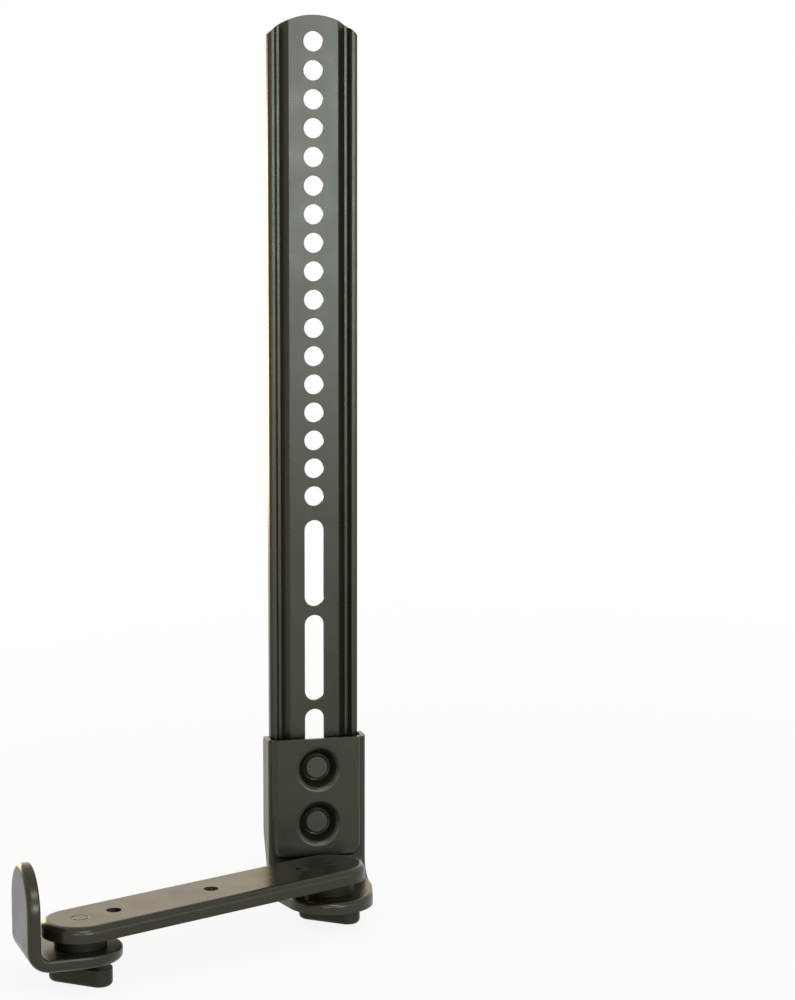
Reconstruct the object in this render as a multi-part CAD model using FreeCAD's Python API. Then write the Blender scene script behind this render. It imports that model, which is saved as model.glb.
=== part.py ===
import FreeCAD, Part
import math
import os

# Soundbar bracket: a slotted rail that is screwed to a television, a pressed foot that slides
# on the rail, an arm that swings on the foot and a hook that swings on the arm's far end.
# Millimetres. +Z is up, -Y is the front, +X is to the right of someone facing the front.
# The origin is the middle of the row of screw holes, on the front face of the rail.

V = FreeCAD.Vector
UP = V(0, 0, 1)
BACK = V(0, 1, 0)

# Rail
hole_count = 17
hole_pitch = 12.5
hole_dia = 8.8
rail_sheet = 1.4
rail_width = 40.4
rail_depth = 4.5
rail_end_margin = 11.4
rail_end_radius = 28.0
rail_bend_radius = 1.8
web_width = 22.4
groove_depth = 3.0
groove_inner_run = 3.4
groove_floor = 1.4
groove_outer_run = 1.2
groove_bend_radius = 0.6
rail_inside_radius = 0.2
slot_count = 2
slot_length = 39.0
slot_web = 4.0
first_slot_web = 6.4
long_slot_length = 60.0
rail_foot_margin = 7.2

# Sleeve and foot, one pressing
sleeve_sheet = 2.0
sleeve_side_clearance = 0.2
sleeve_front_gap = 4.0
sleeve_bend_radius = 2.2
sleeve_above_bolt = 13.8
sleeve_flange_depth = 6.7
flange_corner_radius = 3.0
panel_rise = 1.5
panel_width = 37.4
panel_height = 53.6
panel_wall_run = 1.2
panel_corner_radius = 3.5
dimple_floor_dia = 13.4
dimple_mouth_dia = 17.8
dimple_edge_radius = 2.5
dimple_floor_radius = 1.6
foot_drop = 64.4
foot_reach = 28.0
foot_end_radius = 19.4
foot_rim = 5.4
foot_side_run = 11.5
foot_flank_radius = 30.0
foot_bend_radius = 8.0
corner_cut_top = 20.4
corner_cut_reach = 4.6

# Bolts that clamp the sleeve to the rail
bolt_dia = 6.0
bolt_pitch = 25.0
bolt_above_slot_foot = 9.0
bolt_head_dia = 11.0
bolt_head_height = 2.5
bolt_head_chamfer = 0.8
bolt_past_nut = 0.8
bolt_hole_clearance = 0.1
bolt_washer_dia = 16.0
bolt_washer_thickness = 1.2
bolt_nut_flats = 10.0
bolt_nut_height = 5.0
sliding_clearance = 0.05

# Arm, a pressed tray with its open side down
arm_sheet = 2.0
arm_half_width = 16.0
arm_rim = 6.5
arm_edge_radius = 3.0
arm_pivot_spacing = 130.5
arm_hole_dia = 6.5
arm_hole_first = 14.8
arm_hole_spacing = 49.5
arm_hole_count = 3
arm_turn = 24.7

# Nuts pressed into the arm at its two pivots
pivot_nut_dia = 14.0
pivot_spigot_dia = 6.8
pivot_spigot_clearance = 0.06
pivot_ring_chamfer = 0.25
pivot_thread_depth = 4.0

# Spacers between the arm and what swings on it
spacer_dia = 22.0
inner_spacer_height = 6.3
outer_spacer_height = 5.2

# Hook, a bent strip
hook_thickness = 5.4
hook_half_width = 17.5
hook_inner_reach = 19.8
hook_height = 41.9
hook_bend_radius = 3.8
hook_outer_edge_radius = 2.4
hook_inner_edge_radius = 1.0
hook_turn = 4.9

# Knobs with their studs and washers
knob_length = 28.8
knob_width = 11.0
knob_height = 9.3
knob_edge_radius = 2.0
knob_boss_dia = 14.0
knob_boss_height = 1.6
knob_turn = -39.0
stud_dia = 6.0
stud_clearance = 0.06
stud_end_gap = 0.3
stud_in_knob = 7.0
knob_washer_dia = 17.0
inner_washer_thickness = 1.9
outer_washer_thickness = 1.1

# Places that follow from the sizes above
hole_row_half = hole_pitch * (hole_count - 1) / 2
rail_top_z = hole_row_half + rail_end_margin
slot_pitch = slot_length + slot_web
first_slot_top_z = -hole_row_half - hole_dia / 2 - first_slot_web
long_slot_top_z = first_slot_top_z - slot_count * slot_pitch
long_slot_bottom_z = long_slot_top_z - long_slot_length
rail_bottom_z = long_slot_bottom_z - rail_foot_margin
rail_half_width = rail_width / 2

sleeve_half_width = rail_half_width + sleeve_side_clearance + sleeve_sheet
sleeve_front_y = -sleeve_front_gap - sleeve_sheet
panel_front_y = sleeve_front_y - panel_rise
dimple_floor_y = -sliding_clearance - sleeve_sheet
lower_bolt_z = long_slot_bottom_z + bolt_above_slot_foot
upper_bolt_z = lower_bolt_z + bolt_pitch
bolt_places = {"upper": upper_bolt_z, "lower": lower_bolt_z}
sleeve_top_z = upper_bolt_z + sleeve_above_bolt
panel_bottom_z = sleeve_top_z - panel_height
foot_top_z = sleeve_top_z - foot_drop
foot_bottom_z = foot_top_z - foot_rim

inner_pivot = V(0, -foot_reach, 0)
arm_bottom_z = foot_top_z + inner_spacer_height
arm_top_z = arm_bottom_z + arm_rim
arm_way = V(-math.cos(math.radians(arm_turn)), -math.sin(math.radians(arm_turn)), 0)
outer_pivot = inner_pivot + arm_way * arm_pivot_spacing

hook_leg_top_z = arm_bottom_z - outer_spacer_height
hook_leg_bottom_z = hook_leg_top_z - hook_thickness
hook_top_z = hook_leg_bottom_z + hook_height
stud_hole_dia = stud_dia + 2 * stud_clearance


def flat_xy(z):
    """Return a placer that puts a pair (x, y) at height z."""
    return lambda a, b: V(a, b, z)


def flat_yz(x):
    """Return a placer that puts a pair (y, z) in the plane of constant x."""
    return lambda a, b: V(x, a, b)


def flat_xz(y):
    """Return a placer that puts a pair (x, z) in the plane of constant y."""
    return lambda a, b: V(a, y, b)


def rounded_face(points, radii, place):
    """Make a face from a closed outline whose corners have the given radii."""
    count = len(points)
    corners = []
    for i in range(count):
        before, here, after = (V(*points[(i + k) % count], 0) for k in (-1, 0, 1))
        way_in = (before - here).normalize()
        way_out = (after - here).normalize()
        radius = radii[i]
        if radius <= 0:
            corners.append((here, None, here))
            continue
        half = math.acos(max(-1.0, min(1.0, way_in.dot(way_out)))) / 2
        setback = radius / math.tan(half)
        bisector = (way_in + way_out).normalize()
        middle = here + bisector * (radius / math.sin(half) - radius)
        corners.append((here + way_in * setback, middle, here + way_out * setback))
    edges = []
    for i in range(count):
        start, middle, end = corners[i]
        if middle is not None:
            arc = Part.Arc(place(start.x, start.y), place(middle.x, middle.y), place(end.x, end.y))
            edges.append(arc.toShape())
        following = corners[(i + 1) % count][0]
        if (following - end).Length > 1e-6:
            edges.append(Part.makeLine(place(end.x, end.y), place(following.x, following.y)))
    return Part.Face(Part.Wire(edges))


def offset_line(points, distance):
    """Shift an open run of points sideways, to the left of its way, with sharp corners."""
    moved = []
    for i, point in enumerate(points):
        here = V(*point, 0)
        ways = []
        if i > 0:
            ways.append((here - V(*points[i - 1], 0)).normalize())
        if i < len(points) - 1:
            ways.append((V(*points[i + 1], 0) - here).normalize())
        sides = [V(-way.y, way.x, 0) for way in ways]
        mean = sum(sides[1:], sides[0]).normalize()
        spot = here + mean * (distance / mean.dot(sides[0]))
        moved.append((spot.x, spot.y))
    return moved


def rod(radius, start, way, length):
    """Make a plain cylinder."""
    return Part.makeCylinder(radius, length, start, way)


def ring(outer_radius, inner_radius, start, way, length):
    """Make a cylinder with a hole through it."""
    hole = rod(inner_radius, start - way, way, length + 2)
    return rod(outer_radius, start, way, length).cut(hole)


def stadium_face(half_length, radius, place):
    """Make a face with two straight sides and two round ends, long along its first axis."""
    edges = []
    for side in (1, -1):
        start, end = place(-side * half_length, -side * radius), place(side * half_length, -side * radius)
        tip, over = place(side * (half_length + radius), 0), place(side * half_length, side * radius)
        edges += [Part.makeLine(start, end), Part.Arc(end, tip, over).toShape()]
    return Part.Face(Part.Wire(edges))


def edges_where(shape, test):
    """List the edges whose every sampled point passes the test."""
    chosen = []
    for edge in shape.Edges:
        low, high = edge.ParameterRange
        samples = [edge.valueAt(low + (high - low) * k / 4) for k in range(5)]
        if all(test(point) for point in samples):
            chosen.append(edge)
    return chosen


def runs_straight(edge, way):
    """Say whether an edge is a straight line along a direction."""
    low, high = edge.ParameterRange
    start, middle, end = (edge.valueAt(low + (high - low) * k / 2) for k in range(3))
    return (end - start).cross(way).Length < 1e-4 and (middle - start).cross(way).Length < 1e-4


def near(value, target, within=1e-3):
    """Say whether two numbers are the same, within a small distance."""
    return abs(value - target) < within


def turned(shape, centre, degrees):
    """Turn a shape about a vertical line through a point."""
    shape.rotate(centre, UP, degrees)
    return shape


def save(name, shape):
    """Write one named piece to its own file."""
    shape.exportStep(f"parts/{name}.step")


def rail():
    """Make the rail: a rolled section with two grooves, round ends, holes and slots."""
    web = web_width / 2
    floor_start = web + groove_inner_run
    floor_end = floor_start + groove_floor
    shoulder = floor_end + groove_outer_run
    right = [(web, 0), (floor_start, groove_depth), (floor_end, groove_depth)]
    right += [(shoulder, 0), (rail_half_width, 0), (rail_half_width, rail_depth)]
    left = [(-x, y) for x, y in reversed(right)]
    front = left + right
    back = offset_line(front, rail_sheet)
    front_radii = [0, rail_bend_radius] + [groove_bend_radius] * 4
    front_radii += [groove_bend_radius] * 4 + [rail_bend_radius, 0]
    room = back[-2][0] - back[-3][0]
    inside = [min(rail_inside_radius, 0.45 * room)] * 2
    back_radii = [0] + inside + [groove_bend_radius] * 6 + inside + [0]
    section = rounded_face(front + back[::-1], front_radii + back_radii[::-1], flat_xy(rail_bottom_z))
    body = section.extrude(UP * (rail_top_z - rail_bottom_z))
    body = body.common(rail_end_form())
    for k in range(hole_count):
        place = V(0, -1, hole_row_half - k * hole_pitch)
        body = body.cut(rod(hole_dia / 2, place, BACK, rail_sheet + 2))
    for k in range(slot_count):
        body = body.cut(rail_slot(first_slot_top_z - k * slot_pitch, slot_length))
    return body.cut(rail_slot(long_slot_top_z, long_slot_length))


def rail_end_form():
    """Make the block that gives the rail its two round ends, seen from the front."""
    half = rail_half_width + 1
    drop = rail_end_radius - math.sqrt(rail_end_radius**2 - half**2)
    tops = [V(-half, -1, rail_top_z - drop), V(0, -1, rail_top_z), V(half, -1, rail_top_z - drop)]
    feet = [V(half, -1, rail_bottom_z + drop), V(0, -1, rail_bottom_z), V(-half, -1, rail_bottom_z + drop)]
    edges = [Part.Arc(*tops).toShape(), Part.makeLine(tops[2], feet[0])]
    edges += [Part.Arc(*feet).toShape(), Part.makeLine(feet[2], tops[0])]
    return Part.Face(Part.Wire(edges)).extrude(BACK * (rail_depth + 2))


def rail_slot(top_z, length):
    """Make the cutter for one upright slot in the rail's web."""
    half = length / 2 - hole_dia / 2
    middle_z = top_z - length / 2
    face = stadium_face(half, hole_dia / 2, lambda a, b: V(b, -1, middle_z + a))
    return face.extrude(BACK * (rail_sheet + 2))


def foot_plan(inset, z):
    """Make the plan of the pressing: the sleeve's width, drawn in to the foot's round end."""
    corner = V(sleeve_half_width, sleeve_front_y - foot_side_run, 0)
    to_centre = inner_pivot - corner
    slant = math.atan2(-to_centre.x, -to_centre.y) - math.asin(foot_end_radius / to_centre.Length)
    tip_y = corner.y - corner.x / math.tan(slant)
    rear = sleeve_flange_depth + 1
    right = [(corner.x, rear), (corner.x, corner.y), (0, tip_y)]
    outline = right + [(-x, y) for x, y in right[1::-1]]
    outline = offset_line(outline[::-1], inset)[::-1]
    radii = [0, foot_flank_radius - inset, foot_end_radius - inset, foot_flank_radius - inset, 0]
    return rounded_face(outline, radii, flat_xy(z))


def foot_side_form(inset):
    """Make the pressing's side view as a block: the upright, the foot and the bend between."""
    top = sleeve_top_z + (inset and 1)
    front = sleeve_front_y + inset
    foot = foot_top_z - inset
    bottom = foot_bottom_z - (inset and 1)
    nose = inner_pivot.y - foot_end_radius - 1
    if inset:
        points = [(front, top), (front, foot), (nose, foot), (nose, bottom)]
        points += [(sleeve_flange_depth + 1, bottom), (sleeve_flange_depth + 1, top)]
        radii = [0, foot_bend_radius + inset, 0, 0, 0, 0]
    else:
        points = [(front, top), (front, foot), (nose, foot), (nose, bottom)]
        points += [(-corner_cut_reach, bottom), (sleeve_flange_depth, foot_top_z + corner_cut_top)]
        points += [(sleeve_flange_depth, top)]
        radii = [0, foot_bend_radius, 0, 0, 0, foot_bend_radius, flange_corner_radius]
    width = sleeve_half_width + 1
    return rounded_face(points, radii, flat_yz(-width)).extrude(V(2 * width, 0, 0))


def pressing_form(inset):
    """Make the pressing's filled outer form, or with an inset the hollow inside it."""
    height = sleeve_top_z - foot_bottom_z + 2 * (inset and 1)
    plan = foot_plan(inset, foot_bottom_z - (inset and 1))
    block = plan.extrude(UP * height).common(foot_side_form(inset))
    front = sleeve_front_y + inset
    foot = foot_top_z - inset
    rims = edges_where(block, lambda p: p.y < front + 1e-4 and p.z > foot - 1e-4)
    rims = [edge for edge in rims if not runs_straight(edge, V(1, 0, 0))]
    return block.makeFillet(max(sleeve_bend_radius - inset, 0.4), rims)


def panel(inset):
    """Make the raised panel's block, or with an inset the hollow pressed behind it."""
    half = panel_width / 2 - inset * 0.5
    bottom = panel_bottom_z + inset * 0.5
    top = sleeve_top_z + (inset and 1)
    root = sleeve_front_y + inset + (0.5 if not inset else 0.0)
    face = panel_front_y + inset
    run = panel_wall_run * (root - face) / panel_rise
    low = panel_section(half + run, bottom - run, top, panel_corner_radius + run, root)
    high = panel_section(half, bottom, top, panel_corner_radius, face)
    return Part.makeLoft([low, high], True, True)


def panel_section(half, bottom, top, radius, y):
    """Make the panel's outline at one depth, with its two lower corners rounded."""
    points = [(-half, top), (-half, bottom), (half, bottom), (half, top)]
    return rounded_face(points, [0, radius, radius, 0], flat_xz(y)).OuterWire


def dimple_cone(extra, floor_y, mouth_y):
    """Make the round form of one dimple, grown outwards by the sheet when extra is given."""
    floor_radius = dimple_floor_dia / 2 + extra
    mouth_radius = dimple_mouth_dia / 2 + extra
    return Part.makeCone(mouth_radius, floor_radius, floor_y - mouth_y, V(0, mouth_y, 0), BACK)


def sleeve_foot():
    """Make the pressing: sleeve, raised panel with two dimples, and the tray-shaped foot."""
    skin = pressing_form(0).fuse(panel(0))
    hollow = pressing_form(sleeve_sheet).fuse(panel(sleeve_sheet))
    body = skin.cut(hollow)
    for z in bolt_places.values():
        wall = dimple_cone(sleeve_sheet * 0.6, dimple_floor_y + sleeve_sheet, panel_front_y + sleeve_sheet * 0.7)
        wall.translate(UP * z)
        body = body.fuse(wall)
    for z in bolt_places.values():
        pit = dimple_cone(0, dimple_floor_y, panel_front_y)
        hole_radius = bolt_dia / 2 + bolt_hole_clearance
        pit = pit.fuse(rod(hole_radius, V(0, dimple_floor_y - 1, 0), BACK, sleeve_sheet + 2))
        pit.translate(UP * z)
        body = body.cut(pit)
    stud_hole = rod(stud_hole_dia / 2, inner_pivot + UP * (foot_bottom_z - 1), UP, foot_rim + 2)
    body = body.cut(stud_hole).removeSplitter()
    floors = edges_where(body, lambda p: near(p.y, dimple_floor_y) and on_dimple(p, dimple_floor_dia))
    body = body.makeFillet(dimple_floor_radius, floors)
    mouths = edges_where(body, lambda p: near(p.y, panel_front_y) and on_dimple(p, dimple_mouth_dia))
    return body.makeFillet(dimple_edge_radius, mouths)


def on_dimple(point, dia):
    """Say whether a point lies on a circle of the given diameter about a bolt's axis."""
    return any(near(math.hypot(point.x, point.z - z), dia / 2) for z in bolt_places.values())


def bolt(z):
    """Make one bolt: a low round head in its dimple and a shank through sleeve, slot and nut."""
    head = rod(bolt_head_dia / 2, V(0, dimple_floor_y - bolt_head_height, z), BACK, bolt_head_height)
    front = edges_where(head, lambda p: near(p.y, dimple_floor_y - bolt_head_height))
    head = head.makeChamfer(bolt_head_chamfer, front)
    length = bolt_nut_y() + bolt_nut_height + bolt_past_nut - dimple_floor_y
    return head.fuse(rod(bolt_dia / 2, V(0, dimple_floor_y, z), BACK, length)).removeSplitter()


def bolt_washer_y():
    """Return where the washer behind the rail starts."""
    return rail_sheet + sliding_clearance


def bolt_nut_y():
    """Return where the nut behind the rail starts."""
    return bolt_washer_y() + bolt_washer_thickness


def bolt_washer(z):
    """Make the washer between the rail's web and a nut."""
    inner = bolt_dia / 2 + bolt_hole_clearance
    return ring(bolt_washer_dia / 2, inner, V(0, bolt_washer_y(), z), BACK, bolt_washer_thickness)


def bolt_nut(z):
    """Make the hexagon nut behind the rail."""
    reach = bolt_nut_flats / math.sqrt(3)
    turns = [math.radians(60 * k + 30) for k in range(7)]
    corners = [V(reach * math.cos(t), bolt_nut_y(), z + reach * math.sin(t)) for t in turns]
    block = Part.Face(Part.makePolygon(corners)).extrude(BACK * bolt_nut_height)
    return block.cut(rod(bolt_dia / 2, V(0, bolt_nut_y() - 1, z), BACK, bolt_nut_height + 2))


def arm_tray(inset):
    """Make the arm's filled form along -X from the inner pivot, or the hollow inside it."""
    half = arm_pivot_spacing / 2
    radius = arm_half_width - inset
    bottom = arm_bottom_z - (inset and 1)
    block = stadium_face(half, radius, flat_xy(bottom)).extrude(UP * (arm_top_z - inset - bottom))
    top_edges = edges_where(block, lambda p: near(p.z, arm_top_z - inset))
    block = block.makeFillet(max(arm_edge_radius - inset, 0.5), top_edges)
    block.translate(V(-half, inner_pivot.y, 0))
    return block


def arm():
    """Make the arm: the tray, its soundbar holes and the seats of its two pivot nuts."""
    body = arm_tray(0).cut(arm_tray(arm_sheet))
    places = [(-arm_hole_first - k * arm_hole_spacing, arm_hole_dia) for k in range(arm_hole_count)]
    places += [(-x, pivot_spigot_dia + 2 * pivot_spigot_clearance) for x in (0, arm_pivot_spacing)]
    for x, dia in places:
        foot = V(x, inner_pivot.y, arm_top_z - arm_sheet - 1)
        body = body.cut(rod(dia / 2, foot, UP, arm_sheet + 2))
    for x in (0, arm_pivot_spacing):
        rim = pivot_spigot_dia / 2 + pivot_spigot_clearance
        foot = V(-x, inner_pivot.y, arm_top_z - pivot_ring_chamfer)
        body = body.cut(Part.makeCone(rim, rim + pivot_ring_chamfer, pivot_ring_chamfer, foot, UP))
    return turned(body, inner_pivot, arm_turn)


def pivot_nut(place):
    """Make a round nut that hangs under the arm's plate, its closed spigot flush with the top."""
    height = arm_rim - arm_sheet
    body = rod(pivot_nut_dia / 2, place + UP * arm_bottom_z, UP, height)
    body = body.fuse(rod(pivot_spigot_dia / 2, place + UP * arm_bottom_z, UP, arm_rim))
    bore = rod(stud_hole_dia / 2, place + UP * (arm_bottom_z - 1), UP, pivot_thread_depth + 1)
    body = body.removeSplitter().cut(bore)
    rim = edges_where(body, lambda p: near(p.z, arm_top_z))
    return body.makeChamfer(pivot_ring_chamfer, rim)


def spacer(place, height):
    """Make the round spacer that keeps the arm off what swings under it."""
    foot = place + UP * (arm_bottom_z - height + sliding_clearance)
    return ring(spacer_dia / 2, stud_hole_dia / 2, foot, UP, height - sliding_clearance)


def hook():
    """Make the hook: a strip with round ends, bent up at a right angle."""
    outer = hook_inner_reach + hook_thickness
    profile = [(hook_half_width, hook_leg_top_z), (-hook_inner_reach, hook_leg_top_z)]
    profile += [(-hook_inner_reach, hook_top_z), (-outer, hook_top_z)]
    profile += [(-outer, hook_leg_bottom_z), (hook_half_width, hook_leg_bottom_z)]
    radii = [0, hook_bend_radius, 0, 0, hook_bend_radius + hook_thickness, 0]
    face = rounded_face(profile, radii, flat_xz(-hook_half_width))
    strip = face.extrude(BACK * 2 * hook_half_width)
    strip = strip.common(hook_plan_form(outer)).common(hook_front_form(outer))
    for depth, radius in ((hook_thickness, hook_outer_edge_radius), (0, hook_inner_edge_radius)):
        rims = edges_where(strip, lambda p: near(hook_depth(p), depth))
        rims = [edge for edge in rims if not runs_straight(edge, BACK)]
        strip = strip.makeFillet(radius, rims)
    hole = rod(stud_hole_dia / 2, V(0, 0, hook_leg_bottom_z - 1), UP, hook_thickness + 2)
    body = turned(strip.cut(hole), V(0, 0, 0), hook_turn)
    body.translate(outer_pivot)
    return body


def hook_depth(point):
    """Return how deep a point lies in the strip, from 0 on its inner skin to its thickness."""
    bend_x = -hook_inner_reach + hook_bend_radius
    bend_z = hook_leg_top_z + hook_bend_radius
    if point.z > bend_z:
        return -hook_inner_reach - point.x
    if point.x > bend_x:
        return hook_leg_top_z - point.z
    return math.hypot(point.x - bend_x, point.z - bend_z) - hook_bend_radius


def hook_plan_form(outer):
    """Make the block that rounds the hook's leg about its pivot, seen from above."""
    low = hook_leg_bottom_z - 1
    height = hook_height + 2
    side = Part.makeBox(outer + 1, 2 * hook_half_width, height, V(-outer - 1, -hook_half_width, low))
    return side.fuse(rod(hook_half_width, V(0, 0, low), UP, height)).removeSplitter()


def hook_front_form(outer):
    """Make the block that rounds the hook's upright at its top, seen along its leg."""
    centre_z = hook_top_z - hook_half_width
    length = outer + hook_half_width + 2
    start = V(-outer - 1, 0, centre_z)
    corner = V(-outer - 1, -hook_half_width, hook_leg_bottom_z - 1)
    side = Part.makeBox(length, 2 * hook_half_width, centre_z - corner.z, corner)
    return side.fuse(rod(hook_half_width, start, V(1, 0, 0), length)).removeSplitter()


def knob(place, top):
    """Make a bar knob that hangs from its washer, with a round boss at the top."""
    half = (knob_length - knob_width) / 2
    bar_height = knob_height - knob_boss_height
    bar = stadium_face(half, knob_width / 2, flat_xy(top - knob_height)).extrude(UP * bar_height)
    bar = bar.makeFillet(knob_edge_radius, edges_where(bar, lambda p: near(p.z, top - knob_height)))
    boss = rod(knob_boss_dia / 2, V(0, 0, top - knob_boss_height), UP, knob_boss_height)
    body = bar.fuse(boss).removeSplitter()
    body = body.cut(rod(stud_dia / 2, V(0, 0, top - stud_in_knob), UP, stud_in_knob + 1))
    body = turned(body, V(0, 0, 0), knob_turn)
    body.translate(place)
    return body


def knob_stud(place, top):
    """Make the stud that is moulded into the knob and screws into the arm's nut."""
    low = top - stud_in_knob
    high = arm_bottom_z + pivot_thread_depth - stud_end_gap
    return rod(stud_dia / 2, place + UP * low, UP, high - low)


def knob_washer(place, top, thickness):
    """Make the washer between a knob and the plate it clamps."""
    return ring(knob_washer_dia / 2, stud_hole_dia / 2, place + UP * top, UP, thickness - sliding_clearance)


def main():
    """Make every piece and write it to the parts folder."""
    os.makedirs("parts", exist_ok=True)
    save("rail", rail())
    save("sleeve_foot", sleeve_foot())
    for side, z in bolt_places.items():
        save(f"slot_bolt_{side}", bolt(z))
        save(f"slot_washer_{side}", bolt_washer(z))
        save(f"slot_nut_{side}", bolt_nut(z))
    save("arm", arm())
    save("hook", hook())
    foot_underside = foot_top_z - sleeve_sheet
    pivots = {
        "inner": (inner_pivot, inner_spacer_height, foot_underside, inner_washer_thickness),
        "outer": (outer_pivot, outer_spacer_height, hook_leg_bottom_z, outer_washer_thickness),
    }
    for end, (place, height, seat_z, washer) in pivots.items():
        knob_top_z = seat_z - washer
        save(f"{end}_pivot_nut", pivot_nut(place))
        save(f"{end}_spacer", spacer(place, height))
        save(f"{end}_knob", knob(place, knob_top_z))
        save(f"{end}_knob_stud", knob_stud(place, knob_top_z))
        save(f"{end}_knob_washer", knob_washer(place, knob_top_z, washer))


main()
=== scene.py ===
"""Looks of the soundbar bracket: its finishes, the studio and the camera."""

import logging
import math
from dataclasses import dataclass, field
from enum import Enum

import bpy
from mathutils import Matrix, Vector


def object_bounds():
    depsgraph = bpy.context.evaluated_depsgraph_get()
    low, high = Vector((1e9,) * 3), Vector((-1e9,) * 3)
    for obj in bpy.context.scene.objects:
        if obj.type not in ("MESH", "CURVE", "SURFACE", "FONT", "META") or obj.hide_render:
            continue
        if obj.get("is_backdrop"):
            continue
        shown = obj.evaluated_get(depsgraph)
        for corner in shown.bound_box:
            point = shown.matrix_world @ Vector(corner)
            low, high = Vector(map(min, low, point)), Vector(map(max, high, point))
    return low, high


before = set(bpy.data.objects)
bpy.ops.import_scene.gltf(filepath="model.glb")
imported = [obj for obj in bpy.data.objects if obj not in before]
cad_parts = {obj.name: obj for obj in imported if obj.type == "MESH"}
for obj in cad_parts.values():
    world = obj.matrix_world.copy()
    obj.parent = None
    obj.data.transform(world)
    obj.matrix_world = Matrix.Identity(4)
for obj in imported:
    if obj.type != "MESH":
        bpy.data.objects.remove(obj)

logging.basicConfig(level=logging.INFO, format="%(name)s: %(message)s")
log = logging.getLogger("soundbar_bracket")

MM = 0.001

DRIFT_LOW, DRIFT_HIGH = 0.3, 0.7
DRIFT_DETAIL = 3.0
GRAIN_DETAIL, GRAIN_ROUGHNESS = 2.0, 0.4
EDGE_SAMPLES = 6
FLOOR_GAP = 0.0002


class Pivot(Enum):
    """The two pivots of the arm."""

    INNER = "inner"
    OUTER = "outer"


class BoltPlace(Enum):
    """The two bolts in the rail's slots."""

    UPPER = "upper"
    LOWER = "lower"


def linear(hex_colour: str) -> tuple[float, float, float, float]:
    """Turn a hex sRGB colour into linear light.

    Args:
        hex_colour: A hash and six hex digits.

    Returns:
        Red, green and blue as linear values, and an opacity of 1.
    """
    digits = hex_colour.lstrip("#")
    values = [int(digits[i : i + 2], 16) / 255 for i in (0, 2, 4)]
    curve = [v / 12.92 if v <= 0.04045 else ((v + 0.055) / 1.055) ** 2.4 for v in values]
    return (curve[0], curve[1], curve[2], 1.0)


def per_metre(feature_mm: float) -> float:
    """Give the texture scale whose pattern has features of a real size.

    Args:
        feature_mm: Size of one feature in millimetres.

    Returns:
        The scale to set on a texture that reads object coordinates in metres.
    """
    return 1.0 / (feature_mm * MM)


def add_node(
    tree: bpy.types.NodeTree,
    kind: str,
    inputs: dict[str | int, object] | None = None,
    **settings: object,
) -> bpy.types.Node:
    """Add one shader node, set it up and wire its inputs.

    Args:
        tree: The node tree to add to.
        kind: The node's type, without its ShaderNode prefix.
        inputs: Socket name or number to a constant, or to an output socket to link from.
        **settings: Properties of the node itself.

    Returns:
        The new node.
    """
    node = tree.nodes.new(f"ShaderNode{kind}")
    for name, value in settings.items():
        setattr(node, name, value)
    for key, value in (inputs or {}).items():
        if isinstance(value, bpy.types.NodeSocket):
            tree.links.new(value, node.inputs[key])
        else:
            node.inputs[key].default_value = value
    return node


def new_tree(name: str) -> tuple[bpy.types.Material, bpy.types.NodeTree]:
    """Make an empty node material.

    Args:
        name: The material's name.

    Returns:
        The material and its cleared node tree.
    """
    material = bpy.data.materials.new(name)
    material.use_nodes = True
    material.node_tree.nodes.clear()
    return material, material.node_tree


@dataclass(frozen=True)
class Finish:
    """How one real material looks.

    Attributes:
        name: Name of the real material.
        colour: Main colour, hex sRGB.
        second: Colour that it drifts to, hex sRGB.
        roughness: Mean roughness.
        roughness_spread: How far the roughness wanders to each side.
        metallic: 0 for paint and plastic, 1 for bare metal.
        ior: Index of refraction of the surface film.
        tint: Tint of the straight-on reflection, hex sRGB.
        grain_mm: Size of the surface grain.
        grain_height_mm: Height of the surface grain.
        drift_mm: Size of the slow colour and gloss patches.
        edge_mm: Radius that softens the drawn edges.
    """

    name: str
    colour: str
    second: str
    roughness: float
    roughness_spread: float = 0.03
    metallic: float = 0.0
    ior: float = 1.5
    tint: str = "#FFFFFF"
    grain_mm: float = 0.6
    grain_height_mm: float = 0.004
    drift_mm: float = 18.0
    edge_mm: float = 0.3

    def build(self) -> bpy.types.Material:
        """Make the node material.

        Returns:
            The finished material.
        """
        material, tree = new_tree(self.name)
        place = add_node(tree, "TexCoord").outputs["Object"]
        drift = add_node(
            tree,
            "TexNoise",
            {"Vector": place, "Scale": per_metre(self.drift_mm), "Detail": DRIFT_DETAIL},
        ).outputs["Fac"]
        colour = add_node(
            tree,
            "Mix",
            {"Factor": drift, "A": linear(self.colour), "B": linear(self.second)},
            data_type="RGBA",
        )
        gloss = add_node(
            tree,
            "MapRange",
            {
                "Value": drift,
                "From Min": DRIFT_LOW,
                "From Max": DRIFT_HIGH,
                "To Min": self.roughness - self.roughness_spread,
                "To Max": self.roughness + self.roughness_spread,
            },
        )
        grain = add_node(
            tree,
            "TexNoise",
            {
                "Vector": place,
                "Scale": per_metre(self.grain_mm),
                "Detail": GRAIN_DETAIL,
                "Roughness": GRAIN_ROUGHNESS,
            },
        )
        edge = add_node(tree, "Bevel", {"Radius": self.edge_mm * MM}, samples=EDGE_SAMPLES)
        bump = add_node(
            tree,
            "Bump",
            {
                "Strength": 1.0,
                "Distance": self.grain_height_mm * MM,
                "Height": grain.outputs["Fac"],
                "Normal": edge.outputs["Normal"],
            },
        )
        shader = add_node(
            tree,
            "BsdfPrincipled",
            {
                "Base Color": colour.outputs[2],
                "Roughness": gloss.outputs["Result"],
                "Metallic": self.metallic,
                "IOR": self.ior,
                "Specular Tint": linear(self.tint),
                "Normal": bump.outputs["Normal"],
            },
        )
        add_node(tree, "OutputMaterial", {"Surface": shader.outputs["BSDF"]})
        return material


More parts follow.
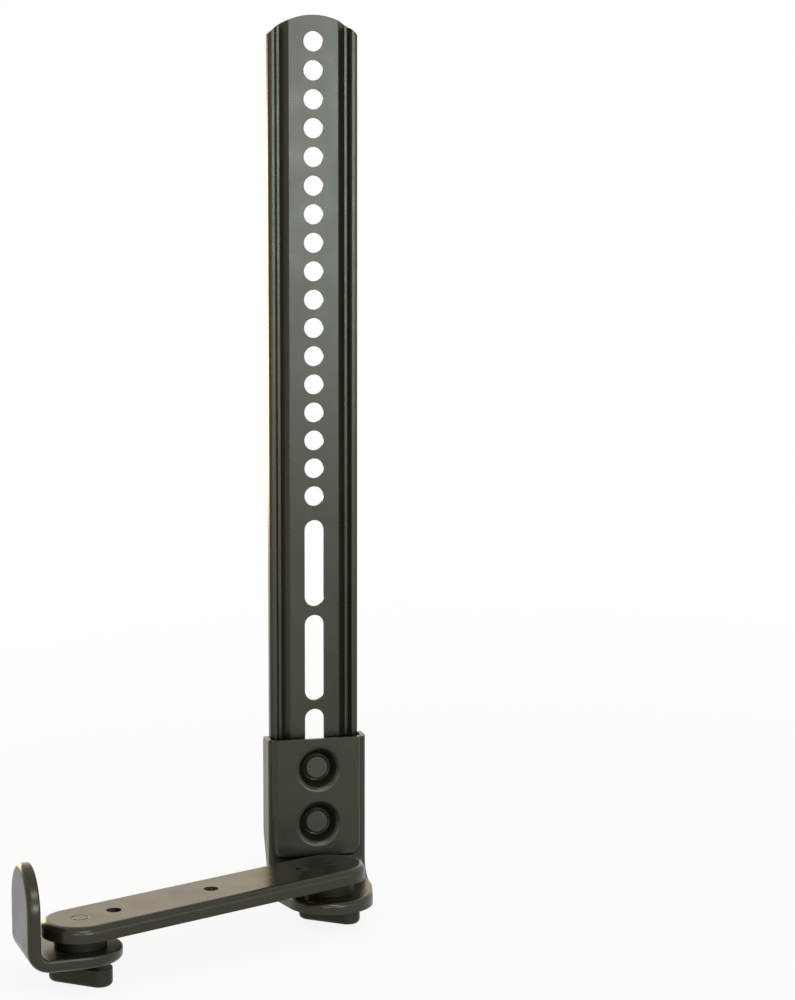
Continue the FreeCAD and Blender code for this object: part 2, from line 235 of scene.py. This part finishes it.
# Powder coat baked on pressed steel: a warm black satin skin with a fine, soft grain.
POWDER_COAT = Finish(
    name="black_powder_coated_steel",
    colour="#171610",
    second="#1B1A13",
    roughness=0.29,
    ior=1.48,
    tint="#FFF4D8",
)
# Black oxide on turned steel: a thin dark film, a little lighter than the coat round it.
BLACK_OXIDE = Finish(
    name="black_oxide_steel",
    colour="#222220",
    second="#1B1B19",
    roughness=0.34,
    tint="#FFF0D0",
    grain_mm=0.3,
    grain_height_mm=0.003,
    drift_mm=4.0,
)
# Zinc plating on steel: a bare, light grey metal with a fine grain.
ZINC = Finish(
    name="zinc_plated_steel",
    colour="#A9AAAB",
    second="#94969A",
    roughness=0.34,
    metallic=1.0,
    grain_mm=0.25,
    grain_height_mm=0.002,
    drift_mm=3.0,
    edge_mm=0.15,
)
# Plastic from a sparked mould: matt, with a grain that takes the shine off.
MOULDED_PLASTIC = Finish(
    name="moulded_black_plastic",
    colour="#12110E",
    second="#161511",
    roughness=0.45,
    ior=1.37,
    tint="#FFF4DC",
    grain_mm=0.35,
    grain_height_mm=0.008,
    drift_mm=7.0,
    edge_mm=0.5,
)
# Nylon spacers: nearly black and dull.
NYLON = Finish(
    name="black_nylon",
    colour="#0B0A08",
    second="#0F0E0B",
    roughness=0.5,
    ior=1.34,
    tint="#FFEBC8",
    grain_mm=0.4,
    grain_height_mm=0.004,
    drift_mm=8.0,
)


@dataclass
class FinishShelf:
    """Keeps each finish's material, so that it is made once.

    Attributes:
        made: Finish to its material.
    """

    made: dict[Finish, bpy.types.Material] = field(default_factory=dict)

    def get(self, finish: Finish) -> bpy.types.Material:
        """Return the material of a finish, making it the first time.

        Args:
            finish: The finish wanted.

        Returns:
            Its material.
        """
        if finish not in self.made:
            self.made[finish] = finish.build()
        return self.made[finish]

    def paint(self, piece: bpy.types.Object, finish: Finish) -> None:
        """Give a whole piece one finish.

        Args:
            piece: The object to paint.
            finish: Its finish.
        """
        if not piece.material_slots:
            piece.data.materials.append(None)
        for slot in piece.material_slots:
            slot.material = self.get(finish)


@dataclass
class SubAssembly:
    """A group of solids that keep their shape and get a finish.

    Attributes:
        shelf: Where the materials come from.
    """

    shelf: FinishShelf

    def finishes(self) -> dict[str, Finish]:
        """Give each node's name with its finish."""
        raise NotImplementedError

    def dress(self) -> None:
        """Give each solid its finish and report it."""
        for node, finish in self.finishes().items():
            self.shelf.paint(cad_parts[node], finish)
            log.info("%s: %s", node, finish.name)


@dataclass
class Pressings(SubAssembly):
    """The coated steel pressings: the rail, the sleeve with its foot, the arm and the hook."""

    def finishes(self) -> dict[str, Finish]:
        """Give each pressing its powder coat."""
        return dict.fromkeys(("rail", "sleeve_foot", "arm", "hook"), POWDER_COAT)


@dataclass
class SwivelFittings(SubAssembly):
    """The nut, spacer, knob, washer and stud of one pivot.

    Attributes:
        pivot: Which pivot it is.
    """

    pivot: Pivot

    def finishes(self) -> dict[str, Finish]:
        """Give the finish of each fitting at this pivot."""
        place = self.pivot.value
        return {
            f"{place}_pivot_nut": POWDER_COAT,
            f"{place}_spacer": NYLON,
            f"{place}_knob": MOULDED_PLASTIC,
            f"{place}_knob_washer": BLACK_OXIDE,
            f"{place}_knob_stud": ZINC,
        }


@dataclass
class SlotFastener(SubAssembly):
    """One bolt through the sleeve and a slot, with its washer and nut behind the rail.

    Attributes:
        place: Which of the two it is.
    """

    place: BoltPlace

    def finishes(self) -> dict[str, Finish]:
        """Give the finish of the bolt, the washer and the nut."""
        place = self.place.value
        return {
            f"slot_bolt_{place}": BLACK_OXIDE,
            f"slot_washer_{place}": ZINC,
            f"slot_nut_{place}": ZINC,
        }


@dataclass(frozen=True)
class Softbox:
    """One area lamp.

    Attributes:
        name: The lamp's name.
        place: Its middle, in metres.
        aim: The point that it faces, in metres.
        width: Its width in metres.
        height: Its height in metres.
        power: Its power in watts.
        colour: Its colour, hex sRGB.
    """

    name: str
    place: tuple[float, float, float]
    aim: tuple[float, float, float]
    width: float
    height: float
    power: float
    colour: str

    def build(self) -> bpy.types.Object:
        """Make the lamp.

        Returns:
            The lamp's object.
        """
        data = bpy.data.lights.new(self.name, "AREA")
        data.shape = "RECTANGLE"
        data.size, data.size_y = self.width, self.height
        data.energy = self.power
        data.color = linear(self.colour)[:3]
        lamp = bpy.data.objects.new(self.name, data)
        bpy.context.scene.collection.objects.link(lamp)
        way = Vector(self.aim) - Vector(self.place)
        turn = way.to_track_quat("-Z", "Y").to_matrix().to_4x4()
        lamp.matrix_world = Matrix.Translation(self.place) @ turn
        lamp.visible_camera = False
        return lamp


def plane(name: str, width: float, depth: float, material: bpy.types.Material) -> bpy.types.Object:
    """Make a flat rectangle about the origin.

    Args:
        name: The object's name.
        width: Size along X in metres.
        depth: Size along Y in metres.
        material: Its material.

    Returns:
        The new object, linked to the scene.
    """
    mesh = bpy.data.meshes.new(name)
    corners = [(-1, -1), (1, -1), (1, 1), (-1, 1)]
    mesh.from_pydata([(x * width / 2, y * depth / 2, 0.0) for x, y in corners], [], [(0, 1, 2, 3)])
    mesh.materials.append(material)
    card = bpy.data.objects.new(name, mesh)
    bpy.context.scene.collection.objects.link(card)
    return card


@dataclass
class Studio:
    """The white studio: a pale floor, a white surround and softboxes.

    Attributes:
        floor_z: Height of the floor in metres.
        floor_size: Width and depth of the floor in metres.
        shadow_share: How much of the floor's own shading the camera sees near the object.
        shadow_near: Distance from the middle up to which that share is full, in metres.
        shadow_far: Distance at which it has faded out, in metres.
        ambient: Strength of the surround as a light.
        softboxes: The lamps.
    """

    floor_z: float
    floor_size: float = 8.0
    shadow_share: float = 0.12
    shadow_near: float = 0.25
    shadow_far: float = 0.9
    ambient: float = 0.6
    softboxes: tuple[Softbox, ...] = (
        Softbox(
            name="back_softbox",
            place=(0.2, 1.3, 0.16),
            aim=(-0.05, 0.0, -0.2),
            width=1.1,
            height=0.6,
            power=1.3,
            colour="#FFE08C",
        ),
        Softbox(
            name="back_left_softbox",
            place=(-0.5, 1.0, -0.08),
            aim=(-0.05, 0.0, -0.2),
            width=0.6,
            height=0.36,
            power=6.0,
            colour="#FFE2A0",
        ),
        Softbox(
            name="left_window",
            place=(-0.42, -1.15, -0.16),
            aim=(0.0, 0.0, -0.23),
            width=0.3,
            height=0.2,
            power=1.4,
            colour="#FFF8EC",
        ),
        Softbox(
            name="front_band",
            place=(0.85, -3.0, 0.07),
            aim=(0.0, 0.0, 0.05),
            width=1.3,
            height=0.44,
            power=33.0,
            colour="#D2EBFF",
        ),
        Softbox(
            name="right_band",
            place=(2.0, -1.9, 0.05),
            aim=(0.0, 0.0, 0.0),
            width=1.2,
            height=0.5,
            power=5.0,
            colour="#DDF0FF",
        ),
        Softbox(
            name="high_front_softbox",
            place=(0.05, -1.2, 0.75),
            aim=(0.0, 0.0, -0.22),
            width=0.6,
            height=0.35,
            power=6.0,
            colour="#FFFFFF",
        ),
    )

    @staticmethod
    def seen_as_background(tree: bpy.types.NodeTree) -> bpy.types.NodeSocket:
        """Say which rays show the background: camera, glossy and transmission rays.

        Args:
            tree: The tree to add to.

        Returns:
            A socket that is 1 for those rays and 0 for the others.
        """
        path = add_node(tree, "LightPath").outputs
        either = add_node(
            tree, "Math", {0: path["Is Camera Ray"], 1: path["Is Glossy Ray"]}, operation="MAXIMUM"
        )
        last = add_node(
            tree,
            "Math",
            {0: either.outputs[0], 1: path["Is Transmission Ray"]},
            operation="MAXIMUM",
        )
        return last.outputs[0]

    def build_world(self) -> None:
        """Make the surround: plain white where it is seen, dimmer where it lights."""
        world = bpy.data.worlds.new("studio_surround")
        world.use_nodes = True
        tree = world.node_tree
        tree.nodes.clear()
        seen = self.seen_as_background(tree)
        strength = add_node(
            tree, "MapRange", {"Value": seen, "To Min": self.ambient, "To Max": 1.0}
        )
        shine = add_node(
            tree,
            "Background",
            {"Color": linear("#FFFFFF"), "Strength": strength.outputs["Result"]},
        )
        add_node(tree, "OutputWorld", {"Surface": shine.outputs["Background"]})
        bpy.context.scene.world = world

    def build_floor(self) -> None:
        """Make the pale floor, white where it is seen and with a faint shadow."""
        material, tree = new_tree("white_floor_paper")
        paper = add_node(tree, "BsdfDiffuse", {"Color": linear("#F2F1EE")})
        glow = add_node(tree, "Emission", {"Color": linear("#FFFFFF"), "Strength": 1.0})
        seen = self.seen_as_background(tree)
        place = add_node(tree, "TexCoord").outputs["Object"]
        away = add_node(tree, "VectorMath", {0: place}, operation="LENGTH").outputs["Value"]
        share = add_node(
            tree,
            "MapRange",
            {
                "Value": away,
                "From Min": self.shadow_near,
                "From Max": self.shadow_far,
                "To Min": 1.0 - self.shadow_share,
                "To Max": 1.0,
            },
            interpolation_type="SMOOTHSTEP",
        )
        both = add_node(tree, "Math", {0: share.outputs["Result"], 1: seen}, operation="MULTIPLY")
        mixed = add_node(
            tree,
            "MixShader",
            {0: both.outputs[0], 1: paper.outputs["BSDF"], 2: glow.outputs["Emission"]},
        )
        add_node(tree, "OutputMaterial", {"Surface": mixed.outputs["Shader"]})
        floor = plane("floor", self.floor_size, self.floor_size, material)
        floor.location.z = self.floor_z
        floor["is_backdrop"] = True

    def build(self) -> None:
        """Make the whole studio."""
        self.build_world()
        self.build_floor()
        for softbox in self.softboxes:
            softbox.build()
        scene = bpy.context.scene
        scene.view_settings.view_transform = "Standard"


@dataclass(frozen=True)
class PhotoCamera:
    """The camera at the photograph's viewing angle.

    Attributes:
        place: Where the lens is, in metres.
        yaw: Turn from +Y towards +X, in degrees.
        pitch: Tilt downwards, in degrees.
        roll: Turn about the viewing direction, in degrees.
        lens: Focal length, in millimetres.
        sensor: Width of the sensor, in millimetres.
        near: Nearest distance that it sees, in metres.
        far: Farthest distance that it sees, in metres.
    """

    place: tuple[float, float, float] = (-0.2573, -1.1039, 0.04932)
    yaw: float = 15.0
    pitch: float = 7.59
    roll: float = 0.13
    lens: float = 92.208
    sensor: float = 36.0
    near: float = 0.01
    far: float = 50.0

    def build(self) -> None:
        """Make the camera and set it as the scene's own."""
        data = bpy.data.cameras.new("photo_camera")
        data.sensor_fit = "AUTO"
        data.sensor_width = self.sensor
        data.lens = self.lens
        data.clip_start, data.clip_end = self.near, self.far
        camera = bpy.data.objects.new("photo_camera", data)
        bpy.context.scene.collection.objects.link(camera)
        yaw, pitch = math.radians(self.yaw), math.radians(self.pitch)
        level = math.cos(pitch)
        ahead = Vector((math.sin(yaw) * level, math.cos(yaw) * level, -math.sin(pitch)))
        right = Vector((math.cos(yaw), -math.sin(yaw), 0.0))
        right.rotate(Matrix.Rotation(-math.radians(self.roll), 3, ahead))
        up = right.cross(ahead)
        turn = Matrix((right, up, -ahead)).transposed()
        camera.matrix_world = Matrix.Translation(self.place) @ turn.to_4x4()
        bpy.context.scene.camera = camera


def corners_as_list(box: tuple[Vector, Vector]) -> list[list[float]]:
    """Turn a box into plain numbers.

    Args:
        box: Lowest and highest corner.

    Returns:
        The two corners as lists of numbers.
    """
    return [[round(value, 6) for value in corner] for corner in box]


def main() -> None:
    """Build the looks in order."""
    solid_box = corners_as_list(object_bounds())
    shelf = FinishShelf()
    Pressings(shelf).dress()
    for pivot in Pivot:
        SwivelFittings(shelf, pivot).dress()
    for place in BoltPlace:
        SlotFastener(shelf, place).dress()
    Studio(floor_z=solid_box[0][2] - FLOOR_GAP).build()
    PhotoCamera().build()


if __name__ == "__main__":
    main()
